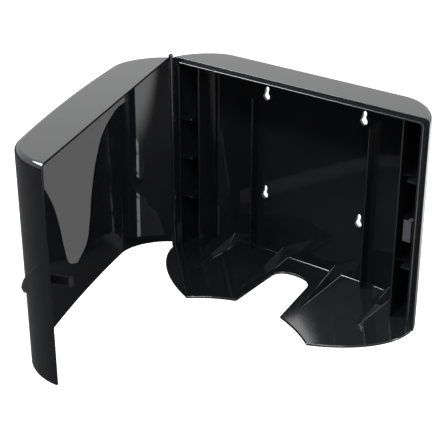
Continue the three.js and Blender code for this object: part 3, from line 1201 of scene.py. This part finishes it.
    def keeper_block(self) -> Solid:
        """Block that the keeper is clipped round.

        Returns:
            The solid.
        """
        shell = self.shell
        half = self.block_height / 2
        middle = shell.level(shell.latch_level)
        block = Solid.block(
            (self.block_side, shell.half_width - shell.wall / 2),
            (shell.rim + self.block_setback, -shell.wall / 2), (middle - half, middle + half),
        )
        return block.soften(0.4, 2).meet(self.core(), Cut.KEEP)

    def keyhole(self, x: float, z: float) -> Solid:
        """Cutter for one keyhole: a round head hole with a narrower slot above it.

        Args:
            x: the head hole's place from side to side.
            z: its height.

        Returns:
            The cutter.
        """
        start = math.degrees(math.asin(self.keyhole_slot / self.keyhole_head))
        shape = Outline(x + self.keyhole_slot, z + self.keyhole_rise)
        shape.arc(x, z + self.keyhole_rise, self.keyhole_slot, 0, 180, 14)
        shape.arc(x, z, self.keyhole_head, 90 + start, 450 - start, 36)
        return Solid.plate(shape, -12, 6)

    def boss(self, x: float, z: float) -> Solid:
        """Low round boss round a keyhole.

        Args:
            x: its place from side to side.
            z: its height.

        Returns:
            The solid.
        """
        back = -self.shell.wall
        front = back - self.boss_height
        shape = Outline(x + self.boss_radius, z).arc(x, z, self.boss_radius, 0, 360, 48)
        shape.points.pop()
        return Solid.plate(shape, front, back + 1).soften(0.5, 3, 50)

    def gate(self) -> Solid:
        """Ring that the moulding gate left in the middle of the back panel.

        Returns:
            The solid.
        """
        z = self.shell.level(self.gate_level)
        back = -self.shell.wall

        def disc(radius: float, front: float) -> Solid:
            """A round plate that reaches into the panel.

            Args:
                radius: its radius.
                front: where its front face is.

            Returns:
                The solid.
            """
            shape = Outline(radius, z).arc(0, z, radius, 0, 360, 40)
            shape.points.pop()
            return Solid.plate(shape, front, back + 0.6)

        ring = disc(self.gate_radius, back - self.gate_height).take(disc(self.gate_bore, back - 1))
        return ring.soften(0.14, 2, 50)

    def pin_marks(self) -> list[Solid]:
        """Cutters for the shallow round marks of the ejector pins.

        Returns:
            The cutters.
        """
        back = -self.shell.wall
        radius = self.mark_radius
        cutters = []
        for x, level in self.marks:
            for side in (-1, 1):
                z = self.shell.level(level)
                shape = Outline(side * x + radius, z).arc(side * x, z, radius, 0, 360, 32)
                shape.points.pop()
                cutters.append(Solid.plate(shape, back - 2, back + self.mark_depth))
        return cutters

    def hinge_rooms(self) -> list[Solid]:
        """Cutters for the cover's knuckles and for the pins' bores.

        Returns:
            The cutters.
        """
        shell = self.shell
        room = shell.knuckle_radius + shell.knuckle_clearance
        rooms = []
        for height in shell.hinge_levels:
            bores = ((room, self.knuckle_room, 40), (self.pin_bore, self.pin_room, 24))
            for radius, tall, segments in bores:
                low = shell.level(height) - tall / 2
                rooms.append(Solid.post(shell.hinge.x, shell.hinge.y, radius, low, low + tall, segments))
        return rooms

    def build(self, material: bpy.types.Material) -> bpy.types.Object:
        """Makes the whole moulding.

        Args:
            material: its finish.

        Returns:
            The piece.
        """
        tray = Tray(self.shell)
        body = self.walls(tray)
        body.add(tray.build(), tray.cove(), self.rim(tray), self.tongue(), self.keeper_block(), self.gate())
        for solid in (self.guide(), self.rib()):
            self.under(solid, tray)
            body.add(solid.mirrored(), solid)
        for height in self.web_levels:
            beside_keeper = abs(height - self.shell.latch_level) < self.keeper_beside
            body.add(self.web(height, True).mirrored(), self.web(height, not beside_keeper))
        places = [
            (x, z) for x in (-self.keyhole_x, self.keyhole_x) for z in (-self.keyhole_z, self.keyhole_z)
        ]
        body.add(*[self.boss(x, z) for x, z in places])
        body.take(*[self.keyhole(x, z) for x, z in places], *self.pin_marks())
        body.add(self.bead(tray))
        body.take(*self.hinge_rooms())
        return Workshop.finish(
            body, "housing_moulding", "back_housing", "housing", "housing_plastic", material
        )


@dataclass
class Cover:
    """The front moulding, drawn shut and swung open when finished."""

    shell: Shell
    sight_shift: float = -6.0
    knuckle_height: float = 10.0
    knuckle_bore: float = 16.0
    neck: float = 6.0
    pin_radius: float = 1.3
    latch_x: float = 145.0
    latch_depth: float = 25.0
    eye_radius: float = 3.4
    grip_round: float = 0.9
    lug_thickness: float = 3.0
    lug_levels: tuple[float, float] = (92.0, 109.85)
    lug_reach: float = 9.0
    lug_bore: float = 1.8
    grip_root: float = 3.1
    ridge: tuple[tuple[float, float, float], ...] = (
        (1.5, 135, 0.1), (9.4, 128, 0.6), (16, 121.5, 0.9), (26.5, 109.5, 1.0),
        (35, 101.5, 1.2), (41.5, 91, 2.4), (44.5, 80, 5.0),
    )
    foot: tuple[tuple[float, float, float], ...] = (
        (1.5, 100, 0.1), (9.7, 95, 0.1), (20, 89.7, 0.2), (33, 82, 0.6), (44.5, 73.5, 2.6),
    )

    def room(self) -> Solid:
        """The hollow inside the cover.

        Returns:
            The solid.
        """
        shell = self.shell
        far = shell.cover_rim - shell.cover_depth
        return shell.drum(shell.cover_rim, far, shell.cover_crown, shell.wall, shell.level(-120))

    def walls(self) -> Solid:
        """Front, sides and top, open behind and below.

        Returns:
            The solid.
        """
        shell = self.shell
        far = shell.cover_rim - shell.cover_depth
        outer = shell.drum(shell.cover_rim, far, shell.cover_crown, 0, shell.level(-90))
        outer.slice((0, shell.cover_rim, 0), (0, 1, 0))
        outer.slice((0, 0, shell.level(shell.cover_bottom)), (0, 0, -1))
        return outer.take(self.room()).soften(0.45, 3, 50)

    def side_point(self, depth: float, height: float, proud: float) -> Vector:
        """A point on the free side.

        Args:
            depth: how far in front of the rim.
            height: its level.
            proud: how far it stands out from the surface.

        Returns:
            The point.
        """
        shell = self.shell
        shoulder = shell.cover_depth - shell.cover_crown
        handles = shell.corner(1, 0, shoulder, shell.half_width)
        curve = Outline(shell.half_width, 0).curve(*handles, steps=400).points
        index = next((i for i, p in enumerate(curve) if p.y >= depth), len(curve) - 1)
        along = (curve[index] - curve[index - 1]).normalized()
        place = curve[index] + Vector((along.y, -along.x, 0)) * proud
        return Vector((place.x, shell.cover_rim - place.y, shell.level(height)))

    def grip(self) -> Solid:
        """Wedge that runs down from the rim and stands proud at its nose.

        Returns:
            The solid.
        """
        points = []
        for depth, height, proud in (*self.ridge, *self.foot):
            points.append(self.side_point(depth, height, proud))
            points.append(self.side_point(depth, height, -self.grip_root))
        return Solid.hull(points).soften(self.grip_round, 4, 8).take(self.room())

    def knuckle(self, height: float) -> Solid:
        """Eye round the hinge pin, with its neck on the side wall.

        Args:
            height: its level.

        Returns:
            The solid.
        """
        shell = self.shell
        low = shell.level(height) - self.knuckle_height / 2
        high = low + self.knuckle_height
        eye = Solid.post(shell.hinge.x, shell.hinge.y, shell.knuckle_radius, low, high).soften(0.35, 2, 50)
        neck = Solid.block(
            (shell.hinge.x - shell.knuckle_radius / 2, -shell.half_width + shell.wall),
            (shell.cover_rim - self.neck, shell.hinge.y), (low + 0.01, high - 0.01),
        )
        return eye.add(neck.soften(0.35, 2, 50))

    def lug(self, low: float) -> Solid:
        """Ear inside the free side that the latch pin goes through.

        Args:
            low: level of its lower face.

        Returns:
            The solid.
        """
        shell = self.shell
        side = shell.half_width - shell.wall / 2 - 3
        y = shell.cover_rim - self.latch_depth
        shape = Outline(side, y + self.lug_reach)
        shape.arc(self.latch_x, y, self.eye_radius, 90, 270, 20).line(side, y - self.lug_reach)
        lug = Solid.prism(shape, shell.level(low), shell.level(low) + self.lug_thickness).soften(0.4, 2, 50)
        far = shell.cover_rim - shell.cover_depth
        inside = shell.drum(shell.cover_rim, far, shell.cover_crown, shell.wall / 2, shell.level(-90))
        return lug.meet(inside, Cut.KEEP)

    def sight(self) -> SightWindow:
        """The window in the front, in the middle of the cover.

        Returns:
            The window.
        """
        shell = self.shell
        along = shell.swing().to_3x3() @ Vector((1, 0, 0))
        hinge = (shell.hinge.x * MM, shell.hinge.y * MM)
        return SightWindow(
            hinge, (along.x, along.y), (shell.half_width + self.sight_shift) * MM, shell.base * MM,
            (shell.top - shell.base) * MM,
        )

    def build(self, material: bpy.types.Material) -> bpy.types.Object:
        """Makes the whole moulding.

        Args:
            material: its finish.

        Returns:
            The piece.
        """
        shell = self.shell
        body = self.walls()
        groove = shell.knuckle_radius + shell.knuckle_clearance
        body.take(Solid.post(shell.hinge.x, shell.hinge.y, groove, -FAR, FAR, 48))
        body.add(self.grip(), *[self.lug(low) for low in self.lug_levels])
        body.add(*[self.knuckle(height) for height in shell.hinge_levels])
        for height in shell.hinge_levels:
            low = shell.level(height) - self.knuckle_bore / 2
            high = low + self.knuckle_bore
            body.take(Solid.post(shell.hinge.x, shell.hinge.y, self.pin_radius, low, high, 24))
        y = shell.cover_rim - self.latch_depth
        body.take(Solid.post(self.latch_x, y, self.lug_bore, shell.level(88), shell.level(116), 24))
        body.move(shell.swing())
        return Workshop.finish(body, "cover_moulding", "front_cover", "cover", "cover_plastic", material)


# ---------------------------------------------------------------- studio


@dataclass
class Studio:
    """Pale floor, soft light and the camera."""

    target: Vector = Vector((-0.0598, -0.0953, -0.0578))
    azimuth: float = 37.74
    elevation: float = 25.92
    distance: float = 1.29625
    lens: float = 94.97
    sky: float = 1.58
    ground: float = 0.04
    # Where the painted pool of light on the floor lies: the direction it runs along, and where it fades in.
    painted_light_side: float = 20.0
    painted_light_from: float = 0.1
    painted_light_to: float = 0.3
    white: float = 1.6

    def camera(self) -> None:
        """Makes the camera."""
        azimuth, elevation = math.radians(self.azimuth), math.radians(self.elevation)
        level = Vector((math.sin(azimuth), -math.cos(azimuth), 0)) * math.cos(elevation)
        back = level + Vector((0, 0, math.sin(elevation)))
        data = bpy.data.cameras.new("camera")
        data.lens = self.lens
        data.sensor_width = 36
        data.clip_start, data.clip_end = 0.05, 50
        camera = bpy.data.objects.new("camera", data)
        camera.location = self.target + back * self.distance
        camera.rotation_mode = "QUATERNION"
        camera.rotation_quaternion = (-back).to_track_quat("-Z", "Y")
        bpy.context.scene.collection.objects.link(camera)
        bpy.context.scene.camera = camera

    def softbox(
        self, name: str, place: tuple[float, float, float], aim: Vector, size: tuple[float, float],
        power: float,
    ) -> None:
        """Hangs a rectangular softbox.

        Args:
            name: the lamp's name.
            place: where it hangs, in metres.
            aim: the point that it faces.
            size: its width and height, in metres.
            power: its power, in watts.
        """
        data = bpy.data.lights.new(name, "AREA")
        data.shape = "RECTANGLE"
        data.size, data.size_y = size
        data.energy = power
        lamp = bpy.data.objects.new(name, data)
        lamp.location = place
        lamp.rotation_mode = "QUATERNION"
        lamp.rotation_quaternion = (aim - Vector(place)).to_track_quat("-Z", "Y")
        bpy.context.scene.collection.objects.link(lamp)

    def floor(self, height: float) -> None:
        """Lays the floor: evenly white to the eye, and in reflections dark with a painted pool of light on
        one side.

        Args:
            height: the floor's height, in metres.
        """
        bm = bmesh.new()
        bmesh.ops.create_grid(bm, x_segments=1, y_segments=1, size=6)
        bmesh.ops.translate(bm, vec=(0, 0, height), verts=bm.verts)
        floor = Solid(bm).thing("floor")
        graph = Graph(bpy.data.materials.new("floor_with_painted_light"))
        seen = graph.number("ShaderNodeLightPath", {}, {}, "Is Camera Ray")
        grain = graph.noise(260, 2)
        spot = graph.node("ShaderNodeTexCoord", {}, {}).outputs["Object"]
        turned = graph.node(
            "ShaderNodeMapping", {}, {"Vector": spot, "Rotation": (0, 0, -math.radians(self.painted_light_side))},
        ).outputs["Vector"]
        along = graph.number("ShaderNodeSeparateXYZ", {}, {"Vector": turned}, "X")
        # Painted light: a pale band over one side of the floor, seen only in reflections and bounced light,
        # stands in for a pool of light on the floor; elsewhere the floor is dark.
        painted_light_band = along.above(self.painted_light_from, self.painted_light_to) + grain * 0.02
        paper_with_painted_light = graph.tint(painted_light_band, (self.ground,) * 3, (0.93,) * 3)
        glow = {"Color": (1, 1, 1, 1), "Strength": self.white}
        white = graph.node("ShaderNodeEmission", {}, glow).outputs[0]
        plain = graph.node("ShaderNodeBsdfDiffuse", {}, {"Color": paper_with_painted_light}).outputs[0]
        mix = graph.node("ShaderNodeMixShader", {}, {0: seen, 1: plain, 2: white}).outputs[0]
        graph.node("ShaderNodeOutputMaterial", {}, {"Surface": mix})
        floor.data.materials.append(graph.owner)
        floor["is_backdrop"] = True

    def world(self) -> None:
        """Surrounds the scene: white to the eye, dim below the horizon in reflections."""
        world = bpy.data.worlds.new("studio")
        graph = Graph(world)
        spot = graph.node("ShaderNodeTexCoord", {}, {}).outputs["Generated"]
        height = graph.number("ShaderNodeSeparateXYZ", {}, {0: spot}, "Z")
        glow = graph.number(
            "ShaderNodeMapRange", {"interpolation_type": "SMOOTHSTEP"},
            {"Value": height, "From Min": -0.1, "From Max": 0.2, "To Min": self.ground, "To Max": self.sky},
            "Result",
        )
        seen = graph.number("ShaderNodeLightPath", {}, {}, "Is Camera Ray")
        strength = graph.node("ShaderNodeMix", {}, {0: seen, 2: glow, 3: self.white}).outputs[0]
        back = graph.node("ShaderNodeBackground", {}, {"Strength": strength}).outputs[0]
        graph.node("ShaderNodeOutputWorld", {}, {"Surface": back})
        bpy.context.scene.world = world
        bpy.context.scene.view_settings.view_transform = "Standard"

    def build(self, ground: float) -> None:
        """Makes the whole studio.

        Args:
            ground: the floor's height, in metres.
        """
        self.camera()
        self.world()
        self.floor(ground)
        self.softbox("over", (-0.95, -0.62, 1.3), self.target, (0.8, 0.4), 44)
        self.softbox("front", (0.15, -0.95, 1.35), self.target, (0.6, 0.2), 20)
        self.softbox("right", (1.4, -0.1, 0.75), self.target, (0.2, 0.9), 14)


# ---------------------------------------------------------------- the whole object


def dress(frame: dict) -> None:
    """Gives the small fittings, which stay as the frame has them, their finishes.
    """
    rod = PlatedSteel("drawn_rod").build()
    plated = PlatedSteel("zinc_plate", (0.24, 0.24, 0.27), (0.13, 0.13, 0.15), 0.38, (1, 1, 1)).build()
    satin = SatinPlastic("satin_acetal").build()
    finishes = {
        "hinge_pin_upper": rod, "hinge_pin_lower": rod, "latch_pin": rod, "latch_spring": rod,
        "latch_clip": rod, "latch_keeper": plated, "latch_lever": satin,
    }
    for node, material in finishes.items():
        mesh = frame["nodes"][node].data
        mesh.materials.clear()
        mesh.materials.append(material)
        LOG.info("%s: dressed", node)


def main() -> None:
    """Builds the dispenser in its studio."""
    logging.basicConfig(level=logging.INFO, format="%(name)s: %(message)s")
    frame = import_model()
    cad_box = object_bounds()
    Studio().build(cad_box[0].z)
    shell = Shell.from_frame(frame)
    Housing(shell).build(PolishedPlastic("housing_gloss").build())
    cover = Cover(shell)
    cover.build(PolishedPlastic("cover_gloss", haze=0.05, sight=cover.sight()).build())
    dress(frame)


if __name__ == "__main__":
    main()
